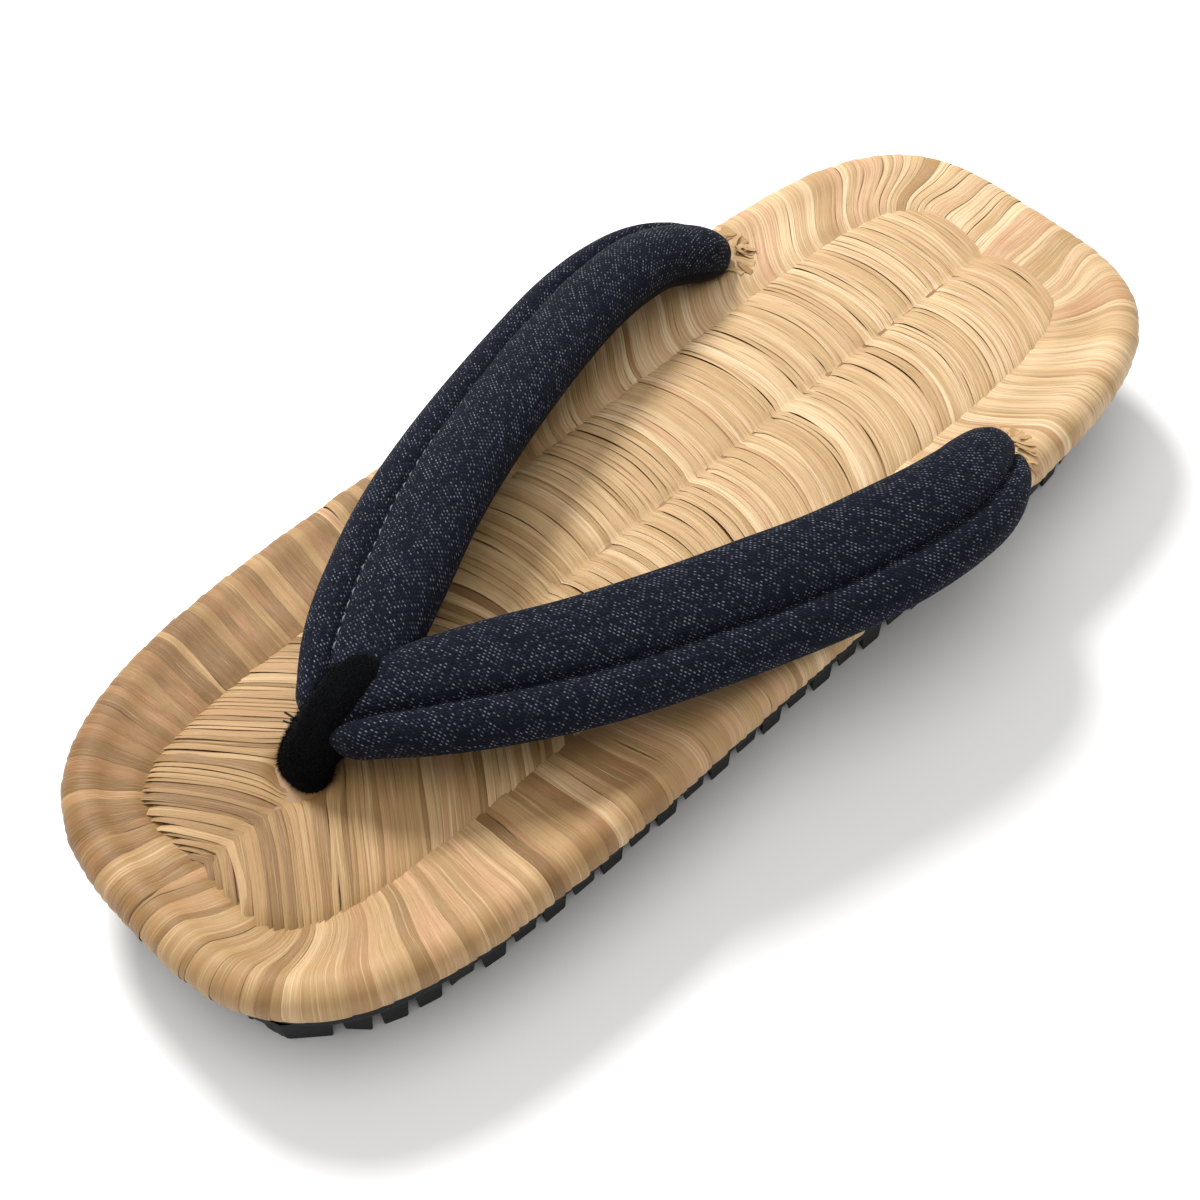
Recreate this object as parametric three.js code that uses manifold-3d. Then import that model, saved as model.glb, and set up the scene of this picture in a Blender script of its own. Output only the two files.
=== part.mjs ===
// A zori sandal: a plaited bamboo-sheath footbed with a plump rolled rim on a black foam midsole
// and a rubber outsole with zigzag lugs, held on the foot by one padded V strap and a velour toe loop.
// Millimetres, +Z up, the toe points to -Y, the floor is z = 0 and the origin lies under the middle.
import * as THREE from "three";
import { mergeVertices } from "three/addons/utils/BufferGeometryUtils.js";
import Module from "manifold-3d";

const wasm = await Module();
wasm.setup();

// ---- driving sizes ---------------------------------------------------------------------------
const LENGTH = 262;            // over the rolled rim
const HALF_BALL = 50.0;        // half width over the rim at mid length
const OUTLINE_SKEW = -1.0;     // how the half width runs from toe to heel: linear,
const OUTLINE_FLARE = 7.7;     // quadratic
const OUTLINE_TOE = -3.1;      // and cubic terms of y / (LENGTH / 2)
const TOE_ROUND = 3.05;        // power of the rounded oblong at the toe
const HEEL_ROUND = 3.97;       // and at the heel, which is squarer
const RIM = 5.0;               // radius of the rolled rim
const RIM_MID = 26.5;          // height of the rim's core above the floor at mid length
const HEEL_LIFT = 5.0;         // rise of the footbed plane from toe tip to heel end
const BED_TOP = 3.0;           // footbed's face above the rim's core
const BED_UNDER = -4.85;       // its underside
const LUG = 5.5;               // depth of the tread lugs
const RUBBER = 2.5;            // rubber web that carries them
const TOE_SPRING = 1.0;        // rise of the tread's tip
const SPRING_FROM = -88;       // where the tread starts to rise towards the toe
const HEEL_SPRING = 0.8;       // rise of the tread's heel end
const HEEL_FROM = 104;
const GAP = 0.3;               // gap between pieces that meet
const LUG_PITCH = 7.8;         // from one zigzag row to the next
const LUG_WAVE = 25;           // length of one zigzag across the sole
const LUG_SWING = 2.4;         // half swing of a row
const LUG_FACE = 5.0;          // width of a row where it meets the floor
const LUG_ROOT = 6.0;          // and at the web
const HOLE_Y = -87;            // hole for the toe loop

const AROUND = 88;             // points around every sole outline
const smooth = (a, b, v) => { const k = Math.min(1, Math.max(0, (v - a) / (b - a))); return k * k * (3 - 2 * k); };
const coreZ = (y) => RIM_MID + HEEL_LIFT * y / LENGTH;
const floorZ = (y) => {
  const toe = Math.max(0, (SPRING_FROM - y) / (LENGTH / 2 + SPRING_FROM));
  const heel = Math.max(0, (y - HEEL_FROM) / (LENGTH / 2 - HEEL_FROM));
  return TOE_SPRING * toe * toe + HEEL_SPRING * heel * heel;
};

// ---- outline of the rim's core, evenly spaced, with its outward normals -----------------------
function corePoint(phi) {
  const c = Math.cos(phi), s = Math.sin(phi), k = 2 / (c > 0 ? TOE_ROUND : HEEL_ROUND);
  const y = -(LENGTH / 2 - RIM) * Math.sign(c) * Math.abs(c) ** k;
  const t = y / (LENGTH / 2);
  const half = HALF_BALL + OUTLINE_SKEW * t + OUTLINE_FLARE * t * t + OUTLINE_TOE * t ** 3 - RIM;
  return new THREE.Vector2(half * Math.sign(s) * Math.abs(s) ** k, y);
}
function outline() {
  const fine = [], run = [0];
  for (let i = 0; i <= 3000; i++) fine.push(corePoint(Math.PI * i / 3000));
  for (let i = 1; i < fine.length; i++) run.push(run[i - 1] + fine[i].distanceTo(fine[i - 1]));
  const half = [];
  for (let i = 0, j = 0; i <= AROUND / 2; i++) {
    const want = run.at(-1) * i / (AROUND / 2);
    while (j < run.length - 2 && run[j + 1] < want) j++;
    half.push(fine[j].clone().lerp(fine[j + 1], Math.min(1, (want - run[j]) / Math.max(1e-9, run[j + 1] - run[j]))));
  }
  half[0].x = 0; half[AROUND / 2].x = 0;
  const pts = half.concat(half.slice(1, -1).reverse().map((p) => new THREE.Vector2(-p.x, p.y)));
  return pts.map((p, i) => {
    const a = pts[(i + AROUND - 1) % AROUND], b = pts[(i + 1) % AROUND];
    const n = new THREE.Vector2(b.y - a.y, a.x - b.x).normalize();
    return { p, n };
  });
}
const CORE = outline();

// a ring at an offset from the rim's core: out is one number, or {side, toe, heel}
function ring(out, z) {
  return CORE.map(({ p, n }) => {
    const o = typeof out === "number" ? out
      : out.side + ((n.y < 0 ? out.toe : out.heel) - out.side) * n.y * n.y;
    const q = p.clone().addScaledVector(n, o);
    return new THREE.Vector3(q.x, q.y, z(q.y));
  });
}

// a closed body from rings of equal count, closed at both ends by cross strips
function body(rings) {
  const n = rings[0].length, pos = [], idx = [];
  rings.forEach((r) => r.forEach((v) => pos.push(v.x, v.y, v.z)));
  for (let k = 0; k + 1 < rings.length; k++)
    for (let i = 0; i < n; i++) {
      const a = k * n + i, b = k * n + (i + 1) % n, c = a + n, d = b + n;
      idx.push(a, b, d, a, d, c);
    }
  const cap = (base, up) => {
    const tri = (a, b, c) => up ? idx.push(base + a, base + b, base + c) : idx.push(base + a, base + c, base + b);
    for (let i = 0; i < n / 2; i++) {
      const l = (n - i) % n, l2 = n - i - 1;
      if (i > 0) tri(i, i + 1, l);
      if (i + 1 < n / 2) tri(i + 1, l2, l);
    }
  };
  cap(0, false);
  cap((rings.length - 1) * n, true);
  const g = new THREE.BufferGeometry();
  g.setAttribute("position", new THREE.Float32BufferAttribute(pos, 3));
  g.setIndex(idx);
  return g;
}

// ---- solids for cutting and joining -----------------------------------------------------------
function solid(geometry) {
  const g = geometry.clone();
  g.deleteAttribute("normal"); g.deleteAttribute("uv");
  const m = mergeVertices(g, 1e-4);
  return new wasm.Manifold(new wasm.Mesh({
    numProp: 3,
    vertProperties: new Float32Array(m.attributes.position.array),
    triVerts: new Uint32Array(m.index.array),
  }));
}
function geometryOf(manifold) {
  const m = manifold.getMesh(), g = new THREE.BufferGeometry();
  g.setAttribute("position", new THREE.BufferAttribute(new Float32Array(m.vertProperties), 3));
  g.setIndex(new THREE.BufferAttribute(new Uint32Array(m.triVerts), 1));
  return g;
}

// ---- footbed: one plaited wall, its rim rolled round the edge ------------------------------------
const RIM_SECTION = [
  { out: -1.4, up: BED_UNDER }, { out: 1.2, up: -4.85 }, { out: 3.3, up: -3.75 }, { out: 4.6, up: -1.95 },
  { out: 5.0, up: 0.0 }, { out: 4.6, up: 1.95 }, { out: 3.5, up: 3.6 }, { out: 1.8, up: 4.65 },
  { out: -0.2, up: 5.0 }, { out: -2.6, up: 4.6 }, { out: -5.2, up: 3.7 }, { out: -8.4, up: 3.1 }, { out: -12, up: BED_TOP },
];
const footbedRings = RIM_SECTION.map((row) => ring(row.out, (y) => coreZ(y) + row.up));

// ---- midsole: foam wedge with a softened lower edge -------------------------------------
const webTop = (y) => floorZ(y) + LUG + RUBBER;
const FOAM_SECTION = [
  { side: -2.0, toe: -2.0, heel: -2.0, rise: 0.0 },
  { side: -1.2, toe: -1.2, heel: 0.3, rise: 0.1 },
  { side: -0.9, toe: -0.9, heel: 0.8, rise: 0.35 },
  { side: -0.8, toe: -0.8, heel: 1.0, rise: 1.0 },
];
const midsoleRings = FOAM_SECTION.map((row) => ring(row, (y) => {
  const low = webTop(y) + GAP, high = coreZ(y) + BED_UNDER - GAP;
  return low + (high - low) * row.rise;
}));

// ---- outsole: rubber web with zigzag rows of lugs ----------------------------------------------------
const WEB_EDGE = { side: -4.0, toe: -3.2, heel: -3.8 };
const LUG_EDGE = { side: -3.0, toe: -2.3, heel: -2.9 };
const webRings = [ring(WEB_EDGE, (y) => floorZ(y) + LUG), ring(WEB_EDGE, webTop)];
function lugRow(y0, phase) {
  const half = 58, step = LUG_WAVE / 2, shape = [];
  const zig = (x) => {
    const u = ((x / LUG_WAVE + phase) % 1 + 1) % 1;
    return LUG_SWING * (u < 0.5 ? 4 * u - 1 : 3 - 4 * u);
  };
  const xs = [-half];
  for (let k = Math.ceil(-half * 2 / LUG_WAVE - 2 * phase); ; k++) {
    const x = (k / 2 - phase) * LUG_WAVE;
    if (x >= half) break;
    if (x > -half) xs.push(x);
  }
  xs.push(half);
  const across = [
    { off: -LUG_FACE / 2, z: 0 }, { off: LUG_FACE / 2, z: 0 },
    { off: LUG_ROOT / 2, z: LUG + RUBBER / 2 }, { off: -LUG_ROOT / 2, z: LUG + RUBBER / 2 },
  ];
  const pos = [], idx = [];
  xs.forEach((x) => across.forEach((c) => pos.push(x, y0 + zig(x) + c.off, c.z)));
  for (let i = 0; i + 1 < xs.length; i++)
    for (let j = 0; j < 4; j++) {
      const a = i * 4 + j, b = i * 4 + (j + 1) % 4;
      idx.push(a, b + 4, a + 4, a, b, b + 4);
    }
  idx.push(0, 2, 1, 0, 3, 2);
  const e = (xs.length - 1) * 4;
  idx.push(e, e + 1, e + 2, e, e + 2, e + 3);
  const g = new THREE.BufferGeometry();
  g.setAttribute("position", new THREE.Float32BufferAttribute(pos, 3));
  g.setIndex(idx);
  return g;
}
function outsoleSolid() {
  const fence = solid(body([ring(LUG_EDGE, () => -1), ring(LUG_EDGE, () => LUG + RUBBER)]));
  let rows = null;
  const count = Math.floor((LENGTH - 22) / LUG_PITCH);
  for (let i = 0; i <= count; i++) {
    const y = (i - count / 2) * LUG_PITCH;
    const row = solid(lugRow(y, 0.25)).intersect(fence);
    rows = rows ? rows.add(row) : row;
  }
  const m = rows.getMesh(), v = m.vertProperties;
  for (let i = 0; i < v.length; i += 3) v[i + 2] += floorZ(v[i + 1]);
  const bent = new wasm.Manifold(new wasm.Mesh({ numProp: 3, vertProperties: v, triVerts: m.triVerts }));
  return bent.add(solid(body(webRings)));
}

// ---- padded strap: a row for each section of one arm, up is above the rim's core ---------------------
const ARM = [
  { x: 0.6, y: -82.4, up: 11.8, half: 3.4, thick: 3.0, tilt: 2 },
  { x: 1.6, y: -80.6, up: 13.2, half: 7.2, thick: 5.2, tilt: 2 },
  { x: 4.6, y: -75.4, up: 15.4, half: 10.4, thick: 6.2, tilt: 5 },
  { x: 10.2, y: -64.8, up: 17.0, half: 12.0, thick: 6.5, tilt: 7 },
  { x: 17.6, y: -51.2, up: 17.3, half: 13.0, thick: 6.5, tilt: 10 },
  { x: 24.7, y: -37.7, up: 17.1, half: 13.2, thick: 6.5, tilt: 12 },
  { x: 31.6, y: -21.0, up: 16.5, half: 13.2, thick: 6.5, tilt: 15 },
  { x: 37.6, y: -3.5, up: 15.6, half: 13.1, thick: 6.5, tilt: 18 },
  { x: 42.4, y: 12.5, up: 14.5, half: 12.9, thick: 6.4, tilt: 19 },
  { x: 45.7, y: 27.0, up: 13.0, half: 12.6, thick: 6.3, tilt: 20 },
  { x: 47.2, y: 39.5, up: 11.4, half: 11.9, thick: 6.3, tilt: 20 },
  { x: 47.0, y: 49.0, up: 9.6, half: 11.0, thick: 6.4, tilt: 21 },
  { x: 45.2, y: 56.0, up: 7.4, half: 9.8, thick: 6.4, tilt: 22 },
  { x: 43.3, y: 61.0, up: 5.4, half: 8.0, thick: 5.8, tilt: 23 },
  { x: 41.9, y: 64.0, up: 3.6, half: 5.6, thick: 4.6, tilt: 24 },
  { x: 41.2, y: 65.6, up: 2.2, half: 3.2, thick: 2.8, tilt: 24 },
];
// the padded section: a plump inner lobe, a sewn channel a third in from the outer edge, a thin outer lobe
const PAD = [
  { across: -1.0, up: -0.05 }, { across: -0.93, up: 0.42 }, { across: -0.70, up: 0.80 }, { across: -0.34, up: 1.0 },
  { across: 0.04, up: 0.90 }, { across: 0.30, up: 0.60 }, { across: 0.50, up: 0.70 }, { across: 0.76, up: 0.60 },
  { across: 0.95, up: 0.28 }, { across: 1.0, up: -0.10 }, { across: 0.86, up: -0.48 }, { across: 0.48, up: -0.76 },
  { across: 0.0, up: -0.82 }, { across: -0.48, up: -0.80 }, { across: -0.86, up: -0.52 },
];
const armAt = (row) => new THREE.Vector3(row.x, row.y, coreZ(row.y) + row.up);
function arm(mirror, grow) {
  const centres = ARM.map(armAt), n = PAD.length, pos = [], idx = [];
  ARM.forEach((row, i) => {
    const a = centres[Math.max(0, i - 1)], b = centres[Math.min(ARM.length - 1, i + 1)];
    const along = b.clone().sub(a).normalize();
    const side = new THREE.Vector3().crossVectors(along, new THREE.Vector3(0, 0, 1)).normalize();
    const up = new THREE.Vector3().crossVectors(side, along);
    const tilt = row.tilt * Math.PI / 180;
    const out = side.clone().multiplyScalar(Math.cos(tilt)).addScaledVector(up, -Math.sin(tilt));
    const lift = new THREE.Vector3().crossVectors(out, along);
    const end = i === 0 ? -grow : i === ARM.length - 1 ? grow : 0;
    PAD.forEach((p) => {
      const v = centres[i].clone().addScaledVector(along, end)
        .addScaledVector(out, p.across * (row.half + grow))
        .addScaledVector(lift, p.up * (row.thick + grow / 0.8));
      pos.push(mirror * v.x, v.y, v.z);
    });
  });
  const face = (a, b, c) => mirror > 0 ? idx.push(a, c, b) : idx.push(a, b, c);
  for (let i = 0; i + 1 < ARM.length; i++)
    for (let j = 0; j < n; j++) {
      const a = i * n + j, b = i * n + (j + 1) % n;
      face(a, b + n, b); face(a, a + n, b + n);
    }
  const last = (ARM.length - 1) * n;
  for (let j = 1; j + 1 < n; j++) { face(0, j, j + 1); face(last, last + j + 1, last + j); }
  const g = new THREE.BufferGeometry();
  g.setAttribute("position", new THREE.Float32BufferAttribute(pos, 3));
  g.setIndex(idx);
  return g;
}
const strapSolid = (grow) => solid(arm(1, grow)).add(solid(arm(-1, grow)));

// ---- toe loop: velour stem out of the footbed, wrapped over the fork of the strap --------------------
const LOOP = [
  { y: HOLE_Y, up: BED_UNDER + 0.05, wide: 5.2, deep: 4.4, lean: 0 },
  { y: HOLE_Y, up: 3.0, wide: 5.8, deep: 4.8, lean: 0 },
  { y: HOLE_Y + 0.8, up: 5.4, wide: 5.7, deep: 4.8, lean: -8 },
  { y: HOLE_Y + 2.4, up: 8.6, wide: 5.8, deep: 5.2, lean: -24 },
  { y: HOLE_Y + 5.4, up: 12.0, wide: 6.3, deep: 6.4, lean: -48 },
  { y: HOLE_Y + 9.5, up: 14.5, wide: 6.7, deep: 7.5, lean: -68 },
  { y: HOLE_Y + 13.5, up: 15.7, wide: 6.7, deep: 7.7, lean: -84 },
  { y: HOLE_Y + 16.5, up: 16.0, wide: 6.1, deep: 7.2, lean: -95 },
  { y: HOLE_Y + 18.5, up: 15.8, wide: 4.9, deep: 5.6, lean: -104 },
];
const LOOP_SIDES = 16;
function loop(grow) {
  const pos = [], idx = [], n = LOOP_SIDES;
  LOOP.forEach((row, i) => {
    const end = i === 0 ? -grow * 12 : 0, lean = row.lean * Math.PI / 180;
    for (let j = 0; j < n; j++) {
      const a = 2 * Math.PI * j / n, d = Math.sin(a) * (row.deep + grow);
      pos.push(Math.cos(a) * (row.wide + grow),
        row.y + d * Math.cos(lean),
        coreZ(row.y) + row.up + end + d * Math.sin(lean));
    }
  });
  for (let i = 0; i + 1 < LOOP.length; i++)
    for (let j = 0; j < n; j++) {
      const a = i * n + j, b = i * n + (j + 1) % n;
      idx.push(a, b, b + n, a, b + n, a + n);
    }
  const last = (LOOP.length - 1) * n;
  for (let j = 1; j + 1 < n; j++) idx.push(0, j + 1, j, last, last + j, last + j + 1);
  const g = new THREE.BufferGeometry();
  g.setAttribute("position", new THREE.Float32BufferAttribute(pos, 3));
  g.setIndex(idx);
  return g;
}

// ---- the assembly ------------------------------------------------------------------------------------
const strap = strapSolid(0);
const strapRoom = strapSolid(GAP + 0.05);
const toeLoop = solid(loop(0)).subtract(strapRoom);
const footbed = solid(body(footbedRings)).subtract(strapRoom).subtract(solid(loop(GAP)));
const PIECES = [
  { name: "outsole", shape: outsoleSolid(), color: 0x15171a, roughness: 0.55 },
  { name: "midsole", shape: solid(body(midsoleRings)), color: 0x17191b, roughness: 0.85 },
  { name: "footbed", shape: footbed, color: 0xd9b98a, roughness: 0.7 },
  { name: "thong_strap", shape: strap, color: 0x1c2230, roughness: 0.9 },
  { name: "toe_loop", shape: toeLoop, color: 0x050506, roughness: 1.0 },
];
const sandal = new THREE.Group();
sandal.name = "zori";
for (const piece of PIECES) {
  const mesh = new THREE.Mesh(geometryOf(piece.shape), new THREE.MeshStandardMaterial({
    color: piece.color, roughness: piece.roughness, metalness: 0,
  }));
  mesh.name = piece.name;
  sandal.add(mesh);
}
export default sandal;
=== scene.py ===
import math

import bpy
import numpy as np
from mathutils import Matrix, Vector
from mathutils.bvhtree import BVHTree


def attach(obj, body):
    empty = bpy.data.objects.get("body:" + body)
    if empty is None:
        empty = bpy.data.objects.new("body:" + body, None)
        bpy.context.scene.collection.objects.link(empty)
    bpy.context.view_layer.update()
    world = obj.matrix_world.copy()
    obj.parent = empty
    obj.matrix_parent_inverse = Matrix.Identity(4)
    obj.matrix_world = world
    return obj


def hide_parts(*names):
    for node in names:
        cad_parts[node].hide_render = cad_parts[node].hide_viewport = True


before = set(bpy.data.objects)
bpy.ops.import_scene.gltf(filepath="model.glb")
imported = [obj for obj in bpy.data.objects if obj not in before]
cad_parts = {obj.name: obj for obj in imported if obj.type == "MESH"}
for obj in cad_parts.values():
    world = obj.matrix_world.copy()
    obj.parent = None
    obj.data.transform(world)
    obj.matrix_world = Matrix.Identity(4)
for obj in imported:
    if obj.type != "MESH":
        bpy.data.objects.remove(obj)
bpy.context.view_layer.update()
rng = np.random.default_rng(20)
MM = 0.001

# ---- the last's outline, the same numbers as the part's source, in millimetres ----------------
LENGTH, HALF_BALL = 262.0, 50.0
SKEW, FLARE, TOE_CUBIC = -1.0, 7.7, -3.1
TOE_ROUND, HEEL_ROUND = 3.05, 3.97
RIM, RIM_MID, HEEL_LIFT = 5.0, 26.5, 5.0
BED_TOP, BED_UNDER = 3.0, -4.85
LUG, RUBBER, GAP = 5.5, 2.5, 0.3
HOLE_Y = -87.0
HOLE_X = -3.0


def core_z(y):
    return RIM_MID + HEEL_LIFT * np.asarray(y) / LENGTH


def floor_z(y):
    toe = np.clip((-88 - y) / 43, 0, None)
    heel = np.clip((y - 104) / 27, 0, None)
    return 1.0 * toe ** 2 + 0.8 * heel ** 2


def smooth(a, b, v):
    k = np.clip((v - a) / (b - a), 0, 1)
    return k * k * (3 - 2 * k)


def core_outline(count=1440):
    phi = np.linspace(0, 2 * np.pi, 40001)
    c, s = np.cos(phi), np.sin(phi)
    k = np.where(c > 0, 2 / TOE_ROUND, 2 / HEEL_ROUND)
    y = -(LENGTH / 2 - RIM) * np.sign(c) * np.abs(c) ** k
    t = y / (LENGTH / 2)
    half = HALF_BALL + SKEW * t + FLARE * t ** 2 + TOE_CUBIC * t ** 3 - RIM
    x = half * np.sign(s) * np.abs(s) ** k
    run = np.concatenate([[0], np.cumsum(np.hypot(np.diff(x), np.diff(y)))])
    at = np.linspace(0, run[-1], count, endpoint=False)
    p = np.stack([np.interp(at, run, x), np.interp(at, run, y)], 1)
    d = np.roll(p, -1, 0) - np.roll(p, 1, 0)
    n = np.stack([d[:, 1], -d[:, 0]], 1)
    n /= np.linalg.norm(n, axis=1)[:, None]
    if (n * p).sum() < 0:
        n = -n
    return p, n, run[-1]


CORE, CORE_N, PERIMETER = core_outline()
COUNT = len(CORE)


def circ(table, s):
    """value of a closed table at fraction s of the way round"""
    f = (np.asarray(s) % 1.0) * len(table)
    i = np.floor(f).astype(int)
    w = (f - i)[..., None]
    return table[i % len(table)] * (1 - w) + table[(i + 1) % len(table)] * w


def mixed(out, n):
    """an offset that differs at the side, toe and heel"""
    if isinstance(out, tuple):
        side, toe, heel = out
        e = n[..., 1] ** 2
        return side * (1 - e) + np.where(n[..., 1] < 0, toe, heel) * e
    return out


def inner_outline():
    """the plait's inner edge line: a squarer, narrower oblong inside the rim"""
    phi = np.linspace(0, 2 * np.pi, 12001)
    c, s = np.cos(phi), np.sin(phi)
    k = 2 / 5.5
    y = -1.0 - 113.0 * np.sign(c) * np.abs(c) ** k
    x = (28.6 + 1.0 * (y / 113.0) ** 2) * np.sign(s) * np.abs(s) ** k
    run = np.concatenate([[0], np.cumsum(np.hypot(np.diff(x), np.diff(y)))])
    at = np.linspace(0, run[-1], 4000, endpoint=False)
    return np.stack([np.interp(at, run, x), np.interp(at, run, y)], 1)


INNER = inner_outline()


def match_inner():
    near = np.array([np.argmin(((INNER - p) ** 2).sum(1)) for p in CORE], float)
    near = np.unwrap(near / len(INNER) * 2 * np.pi) / (2 * np.pi)
    base = np.arange(COUNT) / COUNT
    off = near - base
    off -= np.round(off[0])
    k = np.arange(-70, 71)
    w = np.exp(-(k / 30.0) ** 2)
    w /= w.sum()
    off = sum(w[j] * np.roll(off, k[j]) for j in range(len(k)))
    return circ(INNER, base + off)


INSIDE = match_inner()


def hermite(rows, count, closed=False):
    """a smooth curve through rows, sampled evenly along its length"""
    r = np.asarray(rows, float)
    if closed:
        r = np.concatenate([r[-2:], r, r[:3]])
    else:
        r = np.concatenate([[2 * r[0] - r[1]], r, [2 * r[-1] - r[-2]]])
    step = np.linalg.norm(np.diff(r, axis=0), axis=1) + 1e-9
    t = np.concatenate([[0], np.cumsum(step ** 0.75)])
    slope = np.zeros_like(r)
    for i in range(1, len(r) - 1):
        a, b = t[i] - t[i - 1], t[i + 1] - t[i]
        slope[i] = ((r[i] - r[i - 1]) / a * b + (r[i + 1] - r[i]) / b * a) / (a + b)
    lo, hi = (2, len(r) - 3) if closed else (1, len(r) - 2)
    out = []
    for i in range(lo, hi):
        u = np.linspace(0, 1, 24, endpoint=False)[:, None]
        h = t[i + 1] - t[i]
        out.append((2 * u ** 3 - 3 * u ** 2 + 1) * r[i] + (u ** 3 - 2 * u ** 2 + u) * h * slope[i]
                   + (-2 * u ** 3 + 3 * u ** 2) * r[i + 1] + (u ** 3 - u ** 2) * h * slope[i + 1])
    out.append(r[hi][None])
    p = np.concatenate(out)
    run = np.concatenate([[0], np.cumsum(np.linalg.norm(np.diff(p, axis=0), axis=1))])
    at = np.linspace(0, run[-1], count, endpoint=not closed)
    return np.stack([np.interp(at, run, p[:, c]) for c in range(p.shape[1])], 1)


# ---- meshes ---------------------------------------------------------------------------------
def make_mesh(name, verts, faces, attrs=None, mats=(), face_mat=None, flat=False):
    """verts in millimetres; faces a list of index rows of 3 or 4"""
    me = bpy.data.meshes.new(name)
    verts = np.asarray(verts, float) * MM
    loops = np.concatenate([np.asarray(f).ravel() for f in faces]) if len(faces) else np.zeros(0, int)
    sizes = np.concatenate([np.full(len(f), np.asarray(f).shape[1]) for f in faces])
    me.vertices.add(len(verts))
    me.vertices.foreach_set("co", verts.astype(np.float32).ravel())
    me.loops.add(len(loops))
    me.loops.foreach_set("vertex_index", loops.astype(np.int32))
    me.polygons.add(len(sizes))
    starts = np.concatenate([[0], np.cumsum(sizes)[:-1]]).astype(np.int32)
    me.polygons.foreach_set("loop_start", starts)
    me.polygons.foreach_set("loop_total", sizes.astype(np.int32))
    if face_mat is not None:
        me.polygons.foreach_set("material_index", np.asarray(face_mat, np.int32))
    me.polygons.foreach_set("use_smooth", np.full(len(sizes), not flat))
    for key, values in (attrs or {}).items():
        a = me.attributes.new(key, "FLOAT", "POINT")
        a.data.foreach_set("value", np.asarray(values, np.float32))
    for m in mats:
        me.materials.append(m)
    me.update(calc_edges=True)
    me.validate()
    ob = bpy.data.objects.new(name, me)
    bpy.context.scene.collection.objects.link(ob)
    return ob


class Pile:
    """gathers grids into one mesh"""
    def __init__(self):
        self.v, self.quads, self.tris, self.attrs, self.n = [], [], [], {}, 0
        self.qm, self.tm = [], []

    def grid(self, p, wrap=False, mat=0, flip=False, **attrs):
        a, b = p.shape[:2]
        idx = self.n + np.arange(a * b).reshape(a, b)
        right = np.roll(idx, -1, 1) if wrap else idx[:, 1:]
        left = idx if wrap else idx[:, :-1]
        q = np.stack([left[:-1], right[:-1], right[1:], left[1:]], -1).reshape(-1, 4)
        if flip:
            q = q[:, ::-1]
        self.quads.append(q)
        self.qm.append(np.broadcast_to(mat, (len(q),)) if np.ndim(mat) == 0 else np.asarray(mat))
        self._take(p.reshape(-1, 3), attrs)
        return idx

    def _take(self, p, attrs):
        for k in set(self.attrs) | set(attrs):
            have = self.attrs.setdefault(k, [np.zeros(self.n)])
            val = attrs.get(k, 0.0)
            have.append(np.broadcast_to(val, (len(p),)) if np.ndim(val) == 0 else np.asarray(val).ravel())
        self.v.append(p)
        self.n += len(p)

    def triangles(self, p, f, mat=0, **attrs):
        self.tris.append(np.asarray(f) + self.n)
        self.tm.append(np.full(len(f), mat))
        self._take(np.asarray(p, float), attrs)

    def build(self, name, mats, move=None):
        v = np.concatenate(self.v)
        if move is not None:
            v = move(v)
        faces, fm = [], []
        if self.quads:
            faces.append(np.concatenate(self.quads))
            fm.append(np.concatenate(self.qm))
        if self.tris:
            faces.append(np.concatenate(self.tris))
            fm.append(np.concatenate(self.tm))
        attrs = {k: np.concatenate(a) for k, a in self.attrs.items()}
        return make_mesh(name, v, faces, attrs, mats, np.concatenate(fm))


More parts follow.
